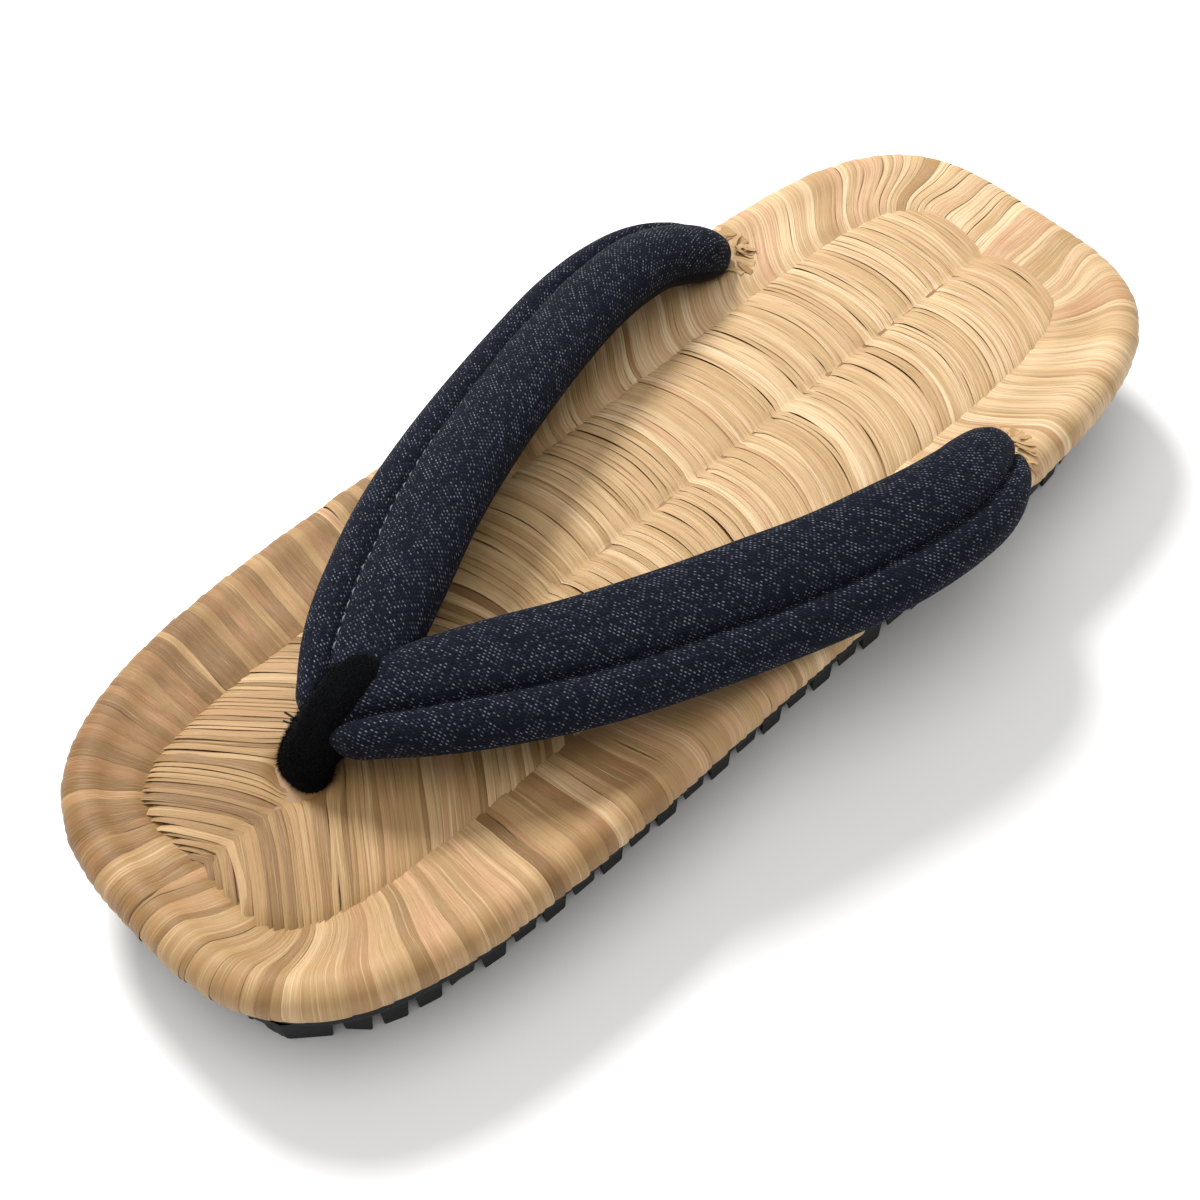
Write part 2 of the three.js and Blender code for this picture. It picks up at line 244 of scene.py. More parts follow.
# ---- materials ------------------------------------------------------------------------------
class Nodes:
    def __init__(self, name):
        self.mat = bpy.data.materials.new(name)
        self.mat.use_nodes = True
        self.t = self.mat.node_tree
        self.b = self.t.nodes["Principled BSDF"]

    def put(self, socket, value):
        if hasattr(value, "links"):
            self.t.links.new(value, socket)
        elif value is not None:
            socket.default_value = value

    def m(self, op, a, b=None, c=None):
        n = self.t.nodes.new("ShaderNodeMath")
        n.operation = op
        for i, x in enumerate((a, b, c)):
            if x is not None:
                self.put(n.inputs[i], x)
        return n.outputs[0]

    def attr(self, name):
        n = self.t.nodes.new("ShaderNodeAttribute")
        n.attribute_name = name
        return n.outputs["Fac"]

    def xyz(self, x, y, z=0.0):
        n = self.t.nodes.new("ShaderNodeCombineXYZ")
        for i, v in enumerate((x, y, z)):
            self.put(n.inputs[i], v)
        return n.outputs[0]

    def noise(self, vec, scale=1.0, detail=3.0, rough=0.55):
        n = self.t.nodes.new("ShaderNodeTexNoise")
        self.put(n.inputs["Vector"], vec)
        n.inputs["Scale"].default_value = scale
        n.inputs["Detail"].default_value = detail
        n.inputs["Roughness"].default_value = rough
        return n.outputs["Fac"]

    def white(self, vec):
        n = self.t.nodes.new("ShaderNodeTexWhiteNoise")
        n.noise_dimensions = "3D"
        self.put(n.inputs["Vector"], vec)
        return n.outputs["Value"]

    def ramp(self, fac, stops):
        n = self.t.nodes.new("ShaderNodeValToRGB")
        self.put(n.inputs[0], fac)
        e = n.color_ramp.elements
        while len(e) < len(stops):
            e.new(0.5)
        for i, (p, col) in enumerate(stops):
            e[i].position = p
            e[i].color = (*col, 1) if np.ndim(col) else (col, col, col, 1)
        return n.outputs[0]

    def step(self, x, a, b):
        n = self.t.nodes.new("ShaderNodeMapRange")
        n.interpolation_type = "SMOOTHSTEP"
        self.put(n.inputs["Value"], x)
        n.inputs["From Min"].default_value = a
        n.inputs["From Max"].default_value = b
        return n.outputs[0]

    def mix(self, fac, a, b, how="MIX"):
        n = self.t.nodes.new("ShaderNodeMix")
        n.data_type = "RGBA"
        n.blend_type = how
        n.clamp_factor = True
        self.put(n.inputs[0], fac)
        self.put(n.inputs[6], a if hasattr(a, "links") else (*a, 1))
        self.put(n.inputs[7], b if hasattr(b, "links") else (*b, 1))
        return n.outputs[2]

    def coords(self):
        n = self.t.nodes.new("ShaderNodeTexCoord")
        return n.outputs["Object"]

    def bump(self, height, distance, strength=1.0, under=None):
        n = self.t.nodes.new("ShaderNodeBump")
        n.inputs["Strength"].default_value = strength
        n.inputs["Distance"].default_value = distance
        self.put(n.inputs["Height"], height)
        if under is not None:
            self.t.links.new(under, n.inputs["Normal"])
        return n.outputs[0]

    def set(self, **kw):
        for k, v in kw.items():
            self.put(self.b.inputs[k.replace("_", " ")], v)


def straw_material():
    g = Nodes("bamboo_sheath")
    fa, fx, ac = g.attr("fa"), g.attr("fx"), g.attr("across")
    tone, warm, deep = g.attr("tone"), g.attr("warm"), g.attr("deep")
    fibre = g.noise(g.xyz(g.m("MULTIPLY", fa, 0.045), g.m("MULTIPLY", fx, 2.6), g.m("MULTIPLY", tone, 61.0)), 1.0, 5.0, 0.62)
    hair = g.noise(g.xyz(g.m("MULTIPLY", fa, 0.03), g.m("MULTIPLY", fx, 6.5), g.m("MULTIPLY", tone, 23.0)), 1.0, 2.0, 0.5)
    blot = g.noise(g.xyz(g.m("MULTIPLY", fa, 0.09), g.m("MULTIPLY", fx, 0.25), g.m("MULTIPLY", tone, 11.0)), 1.0, 3.0, 0.5)
    base = g.ramp(tone, [(0.0, (0.245, 0.132, 0.050)), (0.3, (0.425, 0.262, 0.116)), (0.65, (0.585, 0.402, 0.214)), (1.0, (0.74, 0.555, 0.345))])
    rosy = g.mix(0.75, base, (0.52, 0.27, 0.155))
    col = g.mix(g.m("MULTIPLY", warm, g.step(blot, 0.28, 0.62)), base, rosy)
    col = g.mix(g.m("MULTIPLY", g.step(fibre, 0.58, 0.30), 0.85), col, (0.40, 0.235, 0.105))
    col = g.mix(g.m("MULTIPLY", g.step(fibre, 0.52, 0.75), 0.55), col, (0.80, 0.63, 0.40))
    col = g.mix(1.0, col, g.ramp(tone, [(0.0, (0.70, 0.64, 0.47)), (0.2, (0.84, 0.80, 0.68)), (0.42, (0.94, 0.93, 0.87)), (0.7, (0.98, 0.97, 0.95))]), "MULTIPLY")
    col = g.mix(g.m("MULTIPLY", g.step(hair, 0.57, 0.70), 0.50), col, (0.27, 0.13, 0.045))
    half = g.attr("hw")
    from_edge = g.m("MULTIPLY", g.m("SUBTRACT", 1.0, ac), half)
    # low: painted contact shadow, a dark line along each strip's lower edge beside the neighbour's overlapping edge,
    # scaled by the line attribute and broken into pieces by gone
    low = g.m("MULTIPLY", g.m("MULTIPLY", g.step(from_edge, 0.34, 0.06), g.step(half, 0.18, 0.62)), g.attr("line"))
    gone = g.step(g.noise(g.xyz(g.m("MULTIPLY", fa, 0.11), 0.0, g.m("MULTIPLY", tone, 97.0)), 1.0, 2.0, 0.5), 0.36, 0.56)
    col = g.mix(g.m("MULTIPLY", low, gone), col, (0.16, 0.075, 0.026))
    # painted shade at both edges of each strip, where it turns down into the gap between strips
    edge = g.step(g.m("ABSOLUTE", ac), 0.80, 1.0)
    col = g.mix(g.m("MULTIPLY", edge, 0.22), col, (0.30, 0.16, 0.065))
    # deep: painted shade, the shadow ring round the toe loop's hole and the dark bed seen in the gaps between strips
    col = g.mix(deep, col, (0.26, 0.135, 0.055))
    g.set(Base_Color=col)
    g.set(Roughness=g.m("ADD", 0.40, g.m("MULTIPLY", fibre, 0.25)))
    g.b.inputs["Specular IOR Level"].default_value = 0.42
    g.set(Normal=g.bump(g.m("ADD", fibre, g.m("MULTIPLY", hair, 0.5)), 0.00022, 0.9))
    return g.mat


def denim_material():
    g = Nodes("strap_denim")
    u, v = g.attr("fu"), g.attr("fv")
    pitch = 0.98
    row = g.m("FLOOR", g.m("DIVIDE", v, pitch * 0.62))
    pu = g.m("ADD", g.m("DIVIDE", u, pitch), g.m("MULTIPLY", row, 0.36))
    col_i = g.m("FLOOR", pu)
    cu = g.m("SUBTRACT", g.m("SUBTRACT", pu, col_i), 0.5)
    cv = g.m("SUBTRACT", g.m("SUBTRACT", g.m("DIVIDE", v, pitch * 0.62), row), 0.5)
    long_way, short_way = g.m("ADD", cu, g.m("MULTIPLY", cv, 0.62)), g.m("SUBTRACT", cu, g.m("MULTIPLY", cv, 0.62))
    dist = g.m("SQRT", g.m("ADD", g.m("POWER", g.m("MULTIPLY", long_way, 0.72), 2.0), g.m("POWER", g.m("MULTIPLY", short_way, 1.45), 2.0)))
    dot = g.step(dist, 0.40, 0.14)
    cell = g.white(g.xyz(col_i, row, 3.0))
    drift = g.noise(g.xyz(g.m("MULTIPLY", u, 0.16), g.m("MULTIPLY", v, 0.5), 0.0), 1.0, 4.0, 0.6)
    bright = g.m("MULTIPLY", dot, g.step(g.m("ADD", g.m("MULTIPLY", cell, 0.55), g.m("MULTIPLY", drift, 0.85)), 0.55, 1.12))
    warp = g.noise(g.xyz(g.m("MULTIPLY", u, 0.3), g.m("MULTIPLY", v, 4.0), 0.0), 1.0, 3.0, 0.6)
    navy = g.mix(g.step(warp, 0.3, 0.7), (0.0022, 0.0031, 0.0068), (0.0056, 0.0078, 0.0160))
    col = g.mix(bright, navy, (0.185, 0.198, 0.235))
    g.set(Base_Color=col, Roughness=0.9)
    g.b.inputs["Specular IOR Level"].default_value = 0.10
    g.b.inputs["Sheen Weight"].default_value = 0.03
    g.b.inputs["Sheen Roughness"].default_value = 0.5
    g.b.inputs["Sheen Tint"].default_value = (0.5, 0.56, 0.7, 1)
    weave = g.m("ADD", g.m("MULTIPLY", dot, 0.7), g.m("MULTIPLY", warp, 0.5))
    g.set(Normal=g.bump(weave, 0.00028, 1.0))
    return g.mat


def velour_material(name="loop_velour", lift=1.0):
    g = Nodes(name)
    n = g.noise(g.coords(), 1900.0, 3.0, 0.6)
    g.set(Base_Color=g.mix(n, (0.0008, 0.0009, 0.0012), (0.0042 * lift, 0.0045 * lift, 0.0055 * lift)), Roughness=1.0)
    g.b.inputs["Specular IOR Level"].default_value = 0.04
    g.b.inputs["Sheen Weight"].default_value = 0.05
    g.b.inputs["Sheen Roughness"].default_value = 0.4
    g.set(Normal=g.bump(n, 0.0004, 0.9))
    return g.mat


def foam_material():
    g = Nodes("midsole_foam")
    c = g.coords()
    fleck = g.noise(c, 1500.0, 2.0, 0.7)
    broad = g.noise(c, 260.0, 4.0, 0.6)
    col = g.mix(g.step(fleck, 0.60, 0.74), g.mix(broad, (0.0085, 0.0095, 0.0105), (0.015, 0.0165, 0.018)), (0.055, 0.062, 0.066))
    g.set(Base_Color=col, Roughness=0.82)
    g.b.inputs["Specular IOR Level"].default_value = 0.28
    g.set(Normal=g.bump(fleck, 0.00018, 0.7))
    return g.mat


def rubber_material():
    g = Nodes("outsole_rubber")
    c = g.coords()
    grain = g.noise(c, 900.0, 4.0, 0.6)
    worn = g.noise(c, 120.0, 3.0, 0.55)
    g.set(Base_Color=g.mix(worn, (0.0034, 0.0041, 0.0046), (0.0078, 0.0090, 0.0099)))
    g.set(Roughness=g.m("ADD", 0.46, g.m("MULTIPLY", worn, 0.22)))
    g.b.inputs["Specular IOR Level"].default_value = 0.30
    g.set(Normal=g.bump(grain, 0.00012, 0.5))
    return g.mat


def thread_material(name, colour):
    g = Nodes(name)
    n = g.noise(g.coords(), 2600.0, 2.0, 0.5)
    dark = tuple(0.7 * x for x in colour)
    g.set(Base_Color=g.mix(n, dark, colour), Roughness=0.75)
    g.set(Normal=g.bump(n, 0.0001, 0.6))
    return g.mat


STRAW, DENIM, VELOUR = straw_material(), denim_material(), velour_material()
LINING = velour_material("strap_lining", 1.3)
FOAM_MAT, RUBBER_MAT = foam_material(), rubber_material()
WHITE_THREAD = thread_material("seam_thread", (0.21, 0.225, 0.27))
BLACK_THREAD = thread_material("black_thread", (0.006, 0.006, 0.007))

# ---- strap ----------------------------------------------------------------------------------
ARM = np.array([
    (-0.8, -81.4, 12.6, 2.6, 2.2, 2), (-0.3, -80.7, 13.0, 5.7, 4.7, 2), (0.8, -78.6, 14.1, 8.2, 6.1, 2), (3.6, -74.3, 15.9, 9.7, 6.6, 5),
    (9.8, -64.8, 17.1, 11.8, 6.6, 7), (17.6, -51.2, 17.3, 13.0, 6.5, 10), (24.7, -37.7, 17.1, 13.2, 6.5, 12),
    (31.6, -21.0, 16.5, 13.2, 6.5, 15), (37.6, -3.5, 15.6, 13.1, 6.5, 18), (42.4, 12.5, 14.5, 12.9, 6.4, 19),
    (45.7, 27.0, 13.9, 12.7, 6.7, 20), (47.2, 39.5, 12.7, 12.1, 7.0, 20), (47.0, 49.0, 11.2, 11.4, 7.1, 21),
    (45.2, 56.0, 9.2, 10.3, 7.1, 22), (43.3, 61.0, 7.0, 8.7, 6.6, 23), (41.9, 64.2, 4.8, 6.4, 5.3, 24),
    (41.2, 66.0, 2.9, 3.9, 3.3, 24), (41.0, 66.7, 2.0, 1.5, 1.1, 24)], float)
PAD = [(-1.0, -0.05), (-0.95, 0.36), (-0.80, 0.70), (-0.56, 0.93), (-0.28, 1.0), (-0.02, 0.96), (0.14, 0.86), (0.235, 0.70),
       (0.285, 0.50), (0.335, 0.60), (0.42, 0.72), (0.56, 0.765), (0.74, 0.68), (0.90, 0.44), (0.985, 0.14), (1.0, -0.12),
       (0.86, -0.48), (0.48, -0.76), (0.0, -0.82), (-0.48, -0.80), (-0.86, -0.52)]
AROUND, STATIONS = 84, 190


def arm_rows(count):
    rows = ARM.copy()
    rows[:, 2] += core_z(rows[:, 1])
    c = hermite(rows * [1, 1, 1, 0.35, 0.35, 0.05], count)
    return c / [1, 1, 1, 0.35, 0.35, 0.05]


def arm_frames(rows):
    c = rows[:, :3]
    along = np.gradient(c, axis=0)
    for _ in range(3):
        along = np.concatenate([along[:1], (along[:-2] + 2 * along[1:-1] + along[2:]) / 4, along[-1:]])
    along /= np.linalg.norm(along, axis=1)[:, None]
    side = np.cross(along, [0, 0, 1])
    side /= np.linalg.norm(side, axis=1)[:, None]
    up = np.cross(side, along)
    tilt = np.radians(rows[:, 5])[:, None]
    out = side * np.cos(tilt) - up * np.sin(tilt)
    return c, along, out, np.cross(out, along)


def seam_pucker(run, seed):
    r = np.random.default_rng(seed)
    k = r.uniform(0, 6.28, 4)
    return (0.5 * np.sin(run / 3.1 * 2 * np.pi + k[0]) + 0.35 * np.sin(run / 4.7 * 2 * np.pi + k[1])
            + 0.5 * np.sin(run / 17 * 2 * np.pi + k[2]) + 0.6 * np.sin(run / 41 * 2 * np.pi + k[3]))


def build_arm(mirror, seed):
    rows = arm_rows(STATIONS)
    c, along, out, lift = arm_frames(rows)
    run = np.concatenate([[0], np.cumsum(np.linalg.norm(np.diff(c, axis=0), axis=1))])
    pad = hermite(PAD, AROUND, closed=True)
    half, thick = rows[:, 3][:, None], rows[:, 4][:, None]
    a, u = pad[:, 0][None], pad[:, 1][None]
    pucker = seam_pucker(run, seed)[:, None]
    near_seam = np.exp(-((a - 0.285) / 0.22) ** 2) * (u > 0.2)
    swell = 0.035 * np.sin(run / 33 * 2 * np.pi + seed)[:, None] * np.exp(-((a + 0.35) / 0.5) ** 2) * (u > 0)
    uu = u + near_seam * pucker * 0.030 + swell
    aa = a + np.exp(-((a - 0.285) / 0.06) ** 2) * (u > 0.2) * pucker * 0.008
    p = c[:, None] + out[:, None] * (aa * half)[..., None] + lift[:, None] * (uu * thick)[..., None]
    # creases across the pad near its pinched front end and where the rear end turns down
    fine = np.random.default_rng(seed + 5)
    for at, deep, wide in ((9, 0.34, 1.8), (14, 0.28, 2.2), (20, 0.2, 2.6), (163, 0.24, 3.2), (171, 0.3, 2.6)):
        slant = fine.uniform(-0.5, 0.5)
        d = run[:, None] - at - slant * a * half
        p -= lift[:, None] * (deep * np.exp(-(d / wide) ** 2) * np.clip(u, 0, 1) * (0.6 + 0.4 * np.cos(3 * a)))[..., None]
    seg = np.linalg.norm(np.diff(np.concatenate([p, p[:, :1]], 1), axis=1), axis=2)
    girth = np.concatenate([np.zeros((len(p), 1)), np.cumsum(seg, 1)], 1)[:, :-1]
    seam = int(np.argmin(np.abs(pad[:, 0] - 0.285) + (pad[:, 1] < 0.2) * 9))
    fv = girth - girth[:, seam:seam + 1]
    p[..., 0] *= mirror
    lining = (pad[:, 1] < -0.16).astype(int)
    mats = np.where((lining + np.roll(lining, -1)) == 2, 1, 0)
    return p, run, fv, mats, seam, (c, along, out, lift, rows)


strap_pile = Pile()
arms = {}
for mirror, seed in ((1, 3), (-1, 8)):
    p, run, fv, mats, seam, data = build_arm(mirror, seed)
    fu = np.broadcast_to(run[:, None], fv.shape)
    idx = strap_pile.grid(p, wrap=True, mat=np.tile(mats, len(p) - 1), flip=mirror < 0, fu=fu, fv=fv)
    for row, rev in ((0, False), (len(p) - 1, True)):
        centre = p[row].mean(0)
        ring = p[row]
        f = [[0, 1 + (j + 1) % AROUND, 1 + j] for j in range(AROUND)]
        if rev != (mirror < 0):
            f = [t[::-1] for t in f]
        strap_pile.triangles(np.concatenate([centre[None], ring]), f, fu=float(run[row]), fv=0.0)
    arms[mirror] = (p, run, seam, data)
strap = strap_pile.build("strap_padded", (DENIM, LINING))
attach(strap, "root")
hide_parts("thong_strap")


def tube(points, radius, sides=6):
    """a closed thin tube along points, radius per point"""
    pts = np.asarray(points, float)
    radius = np.broadcast_to(radius, (len(pts),))
    t = np.gradient(pts, axis=0)
    t /= np.linalg.norm(t, axis=1)[:, None]
    ref = np.array([0, 0, 1.0]) if abs(t[0][2]) < 0.8 else np.array([1.0, 0, 0])
    a = np.cross(t, ref)
    a /= np.linalg.norm(a, axis=1)[:, None]
    b = np.cross(t, a)
    ang = np.arange(sides) * 2 * np.pi / sides
    return pts[:, None] + radius[:, None, None] * (np.cos(ang)[None, :, None] * a[:, None] + np.sin(ang)[None, :, None] * b[:, None])


# ---- stitches in the seam -------------------------------------------------------------------
stitches = Pile()
for mirror in (1, -1):
    p, run, seam, data = arms[mirror]
    c, along, out, lift, rows = data
    line = p[:, seam]
    at = 16.0
    while at < run[-1] - 22:
        half_len = 0.95
        s = np.linspace(at - half_len, at + half_len, 7)
        q = np.stack([np.interp(s, run, line[:, k]) for k in range(3)], 1)
        up = np.stack([np.interp(s, run, lift[:, k]) for k in range(3)], 1) * [mirror, 1, 1]
        arch = np.sin(np.linspace(0, np.pi, 7))
        rise = 0.24 if mirror < 0 else -0.42
        q = q + up * (rise + 0.30 * arch[:, None] - 0.22)
        stitches.grid(tube(q, 0.19 * np.sqrt(np.clip(arch, 0.12, 1))), wrap=True)
        at += 3.05
stitch_ob = stitches.build("strap_stitches", (WHITE_THREAD,))
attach(stitch_ob, "root")

# ---- toe loop -------------------------------------------------------------------------------
LOOP = np.array([
    (0, BED_UNDER + 0.4, 5.2, 4.4, 0), (0.6, 3.0, 5.6, 4.1, 0), (1.2, 5.4, 5.4, 4.1, -8), (2.6, 8.6, 5.4, 4.7, -24),
    (5.4, 12.0, 5.5, 6.0, -48), (9.5, 14.5, 5.7, 7.3, -68), (13.5, 15.8, 5.9, 7.7, -84), (16.5, 16.1, 5.5, 7.4, -95),
    (18.5, 15.9, 4.4, 5.8, -104), (19.6, 15.6, 2.6, 3.4, -108)], float)


def build_loop():
    rows = hermite(LOOP * [1, 1, 0.5, 0.5, 0.12], 80) / [1, 1, 0.5, 0.5, 0.12]
    n = 56
    ang = np.arange(n) * 2 * np.pi / n
    y0 = HOLE_Y + rows[:, 0]
    lean = np.radians(rows[:, 4])[:, None]
    # a squarer ellipse, a little creased along the stem
    ca, sa = np.cos(ang)[None], np.sin(ang)[None]
    sq = (np.abs(ca) ** 2.6 + np.abs(sa) ** 2.6) ** (-1 / 2.6)
    fold = 1 + 0.018 * np.sin(5 * ang[None] + rows[:, 1][:, None] * 0.5) * smooth(3, 9, rows[:, 1][:, None])
    d = sa * sq * fold * rows[:, 3][:, None]
    x = ca * sq * fold * rows[:, 2][:, None]
    y = y0[:, None] + d * np.cos(lean)
    z = (core_z(y0) + rows[:, 1])[:, None] + d * np.sin(lean)
    x = x - 3.0 + 2.0 * smooth(4, 15, rows[:, 1])[:, None]
    return np.stack([x + 0 * y, y, z], -1)


loop_p = build_loop()
loop_pile = Pile()
loop_pile.grid(loop_p, wrap=True)
tip = loop_p[-1]
f = [[0, 1 + j, 1 + (j + 1) % len(tip)] for j in range(len(tip))]
loop_pile.triangles(np.concatenate([tip.mean(0)[None], tip]), f)
# short pile: fine blades standing on the velour
a = loop_p[:-1, :][:, :, :]
du = np.roll(loop_p, -1, 1) - loop_p
dv = np.gradient(loop_p, axis=0)
nrm = np.cross(du, dv)
nrm /= np.linalg.norm(nrm, axis=2)[..., None] + 1e-9
mid = loop_p.mean(1, keepdims=True)
if ((loop_p - mid) * nrm).sum() < 0:
    nrm = -nrm
BLADES = 26000
k = rng.uniform(12, len(loop_p) - 1.01, BLADES)
j = rng.uniform(0, loop_p.shape[1], BLADES)
k0, j0 = k.astype(int), j.astype(int)
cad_, fj = (k - k0)[:, None], (j - j0)[:, None]
j1 = (j0 + 1) % loop_p.shape[1]


def on_loop(t):
    return ((t[k0, j0] * (1 - fj) + t[k0, j1] * fj) * (1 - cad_) + (t[k0 + 1, j0] * (1 - fj) + t[k0 + 1, j1] * fj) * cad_)


root, rn = on_loop(loop_p), on_loop(nrm)
lean_dir = rng.normal(0, 0.45, (BLADES, 3)) + [0, 0, -0.25]
tipp = root + (rn + lean_dir * 0.8) * rng.uniform(0.35, 0.85, (BLADES, 1))
sidew = np.cross(rn, rng.normal(0, 1, (BLADES, 3)))
sidew /= np.linalg.norm(sidew, axis=1)[:, None]
w = 0.055
blades = np.stack([root - sidew * w - rn * 0.05, root + sidew * w - rn * 0.05, tipp], 1).reshape(-1, 3)
loop_pile.triangles(blades, np.arange(len(blades)).reshape(-1, 3))
loop_ob = loop_pile.build("toe_loop_velour", (VELOUR,))
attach(loop_ob, "root")
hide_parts("toe_loop")

tuft = Pile()
for i in range(7):
    base = np.array([-5.9 + 0.2 * i % 2, HOLE_Y + 3.4 + 0.22 * i, float(core_z(HOLE_Y)) + 10.6 + 0.12 * i])
    way = np.array([-1.0, -0.55, 0.55]) + rng.normal(0, 0.35, 3)
    way /= np.linalg.norm(way)
    bend = rng.normal(0, 0.5, 3)
    t = np.linspace(0, 1, 8)[:, None]
    length = rng.uniform(2.2, 4.2)
    tuft.grid(tube(base + way * t * length + bend * t ** 2, 0.24), wrap=True)
tuft_ob = tuft.build("loop_thread_tuft", (BLACK_THREAD,))
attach(tuft_ob, "root")

# ---- footbed: woven strips over a bed painted dark as the shade in their gaps -----------------
RIM_PATH = hermite([(-2.6, 4.6), (-0.2, 5.0), (1.8, 4.65), (3.5, 3.6), (4.6, 1.95), (5.0, 0.0), (4.6, -1.95), (3.3, -3.75),
                    (1.2, -4.7), (-1.4, -4.85)], 61)
RIM_RUN = np.concatenate([[0], np.cumsum(np.linalg.norm(np.diff(RIM_PATH, axis=0), axis=1))])
ARC = RIM_RUN[-1]
BAND = 16.0


def bed_height(x, y):
    """top of the plait inside the rim, above the core: two long pillows with a valley between and at each side"""
    side = np.abs(x - KINK_X) / 28.5
    pillow = np.sin(np.pi * np.clip(side, 0, 1)) ** 0.7
    return BED_TOP - 0.70 + 0.98 * pillow - 0.25 * np.exp(-((x - KINK_X) / 1.6) ** 2)


KINK_X = -0.5


def rim_surface(s, w):
    """point and outward normal on the rim band; w in mm from the inner line, over the rim to the underside"""
    s, w = np.broadcast_arrays(np.asarray(s, float), np.asarray(w, float))
    core, nn, inn = circ(CORE, s), circ(CORE_N, s), circ(INSIDE, s)
    nn = nn / np.linalg.norm(nn, axis=-1)[..., None]
    d = np.clip(w / BAND, -0.12, 1)
    edge = core + nn * -2.6
    flat = inn * (1 - d)[..., None] + edge * d[..., None]
    fz = BED_TOP - 0.55 * (1 - smooth(0, 0.28, d)) + 0.55 * np.sin(np.pi * np.clip(d, 0, 1)) ** 1.2 * (1 - d) + 1.6 * np.clip(d, 0, 1) ** 3
    a = np.clip(w - BAND, 0, ARC)
    ro = np.interp(a, RIM_RUN, RIM_PATH[:, 0])
    rz = np.interp(a, RIM_RUN, RIM_PATH[:, 1])
    on_rim = (w > BAND)
    xy = np.where(on_rim[..., None], core + nn * ro[..., None], flat)
    z = core_z(xy[..., 1]) + np.where(on_rim, rz, fz)
    # normal of the section, by a small step along it
    e = 0.05
    ta = np.interp(a + e, RIM_RUN, RIM_PATH[:, 0]) - np.interp(np.maximum(a - e, 0), RIM_RUN, RIM_PATH[:, 0])
    tz = np.interp(a + e, RIM_RUN, RIM_PATH[:, 1]) - np.interp(np.maximum(a - e, 0), RIM_RUN, RIM_PATH[:, 1])
    ln = np.hypot(ta, tz) + 1e-9
    no, nz = -tz / ln, ta / ln
    slope = np.where(on_rim, no, -0.28 * d ** 2)
    upz = np.where(on_rim, nz, np.sqrt(1 - (0.28 * d ** 2) ** 2))
    normal = np.stack([nn[..., 0] * slope, nn[..., 1] * slope, upz], -1)
    normal /= np.linalg.norm(normal, axis=-1)[..., None]
    return np.concatenate([xy, z[..., None]], -1), normal


bed = Pile()
V = np.array([-1.0, -0.72, -0.25, 0.25, 0.72, 1.0])
CROWN = np.array([-0.07, 0.03, 0.07, 0.07, 0.03, -0.07])


def tone_of(y, x):
    """paler towards the heel, browner at the toe and along the left of the toe"""
    return (0.18 + 0.50 * smooth(-125, 75, y) - 0.22 * smooth(15, -35, x) * smooth(60, -80, y)
            + 0.24 * smooth(0, 36, x) * smooth(-70, -115, y))


# rim strips, from the inner line over the rim and under
w_at = np.concatenate([[-1.3, -0.6], np.linspace(0, BAND, 10), BAND + np.linspace(0, ARC * 0.985, 20)[1:]])
outer_len = PERIMETER
s0 = 0.0
count = 0


def slant_at(s):
    """how far a rim strip leans along the edge on its way out: towards the heel on both sides, and swept back at the toe's right corner"""
    s = s % 1.0
    c = circ(CORE, s)
    side = np.where(s < 0.5, 1.0, -1.0)
    lean = (0.06 + 0.52 * smooth(-70, 20, c[..., 1])) * smooth(4, 30, np.abs(c[..., 0])) * side
    return lean - 0.62 * np.exp(-((s - 0.054) / 0.046) ** 2)


